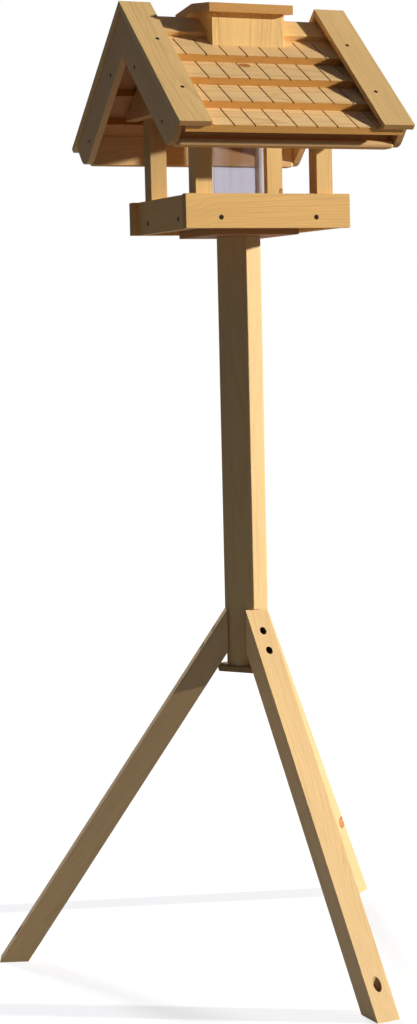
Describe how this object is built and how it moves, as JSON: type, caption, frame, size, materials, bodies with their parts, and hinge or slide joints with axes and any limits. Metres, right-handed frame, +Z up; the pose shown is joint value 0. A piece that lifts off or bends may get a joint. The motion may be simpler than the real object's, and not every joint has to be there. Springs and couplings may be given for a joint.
{
  "type": "bird feeder",
  "caption": "Gabled wooden bird feeder with lapped, grooved roof boards and a clear feed tube under a lidded chimney, standing on an octagonal post with splayed legs.",
  "frame": {"origin": "on the ground under the post's centre line", "axes": "+Z up, +X along the ridge to the right as seen from the front, front towards -Y"},
  "size_m": [0.6673, 0.6276, 1.3893],
  "materials": {
    "pine": "planed, bare",
    "roof_pine": "planed, bare",
    "clear_tube": "clear, polished"
  },
  "bodies": {
    "feeder": {"post": "pine", "leg_left": "pine", "leg_front": "pine", "leg_back": "pine", "post_base_plate": "pine", "tray_mount_plate": "pine", "tray_floor": "pine", "tray_rail_front": "pine", "tray_rail_back": "pine", "tray_rail_left": "pine", "tray_rail_right": "pine", "corner_post_front_left": "pine", "corner_post_front_right": "pine", "corner_post_back_left": "pine", "corner_post_back_right": "pine", "feed_tube": "clear_tube", "gable_panel_left": "roof_pine", "gable_panel_right": "roof_pine", "roof_board_front_1": "roof_pine", "roof_board_front_2": "roof_pine", "roof_board_front_3": "roof_pine", "roof_board_front_4": "roof_pine", "roof_board_back_1": "roof_pine", "roof_board_back_2": "roof_pine", "roof_board_back_3": "roof_pine", "roof_board_back_4": "roof_pine", "ridge_board_front_left": "roof_pine", "ridge_board_front_right": "roof_pine", "ridge_board_back_left": "roof_pine", "ridge_board_back_right": "roof_pine", "eave_batten_front": "roof_pine", "eave_batten_back": "roof_pine", "barge_board_front_left": "roof_pine", "barge_board_front_right": "roof_pine", "barge_board_back_left": "roof_pine", "barge_board_back_right": "roof_pine", "verge_plank_front_left": "roof_pine", "verge_plank_front_right": "roof_pine", "verge_plank_back_left": "roof_pine", "verge_plank_back_right": "roof_pine", "chimney_front": "roof_pine", "chimney_back": "roof_pine", "chimney_left": "roof_pine", "chimney_right": "roof_pine"},
    "lid": {"chimney_lid": "roof_pine"}
  },
  "joints": [
    {"name": "lid_lift", "type": "slide", "parent": "feeder", "child": "lid", "axis": [0, 0, 1], "range_m": [0, 0.08]}
  ]
}
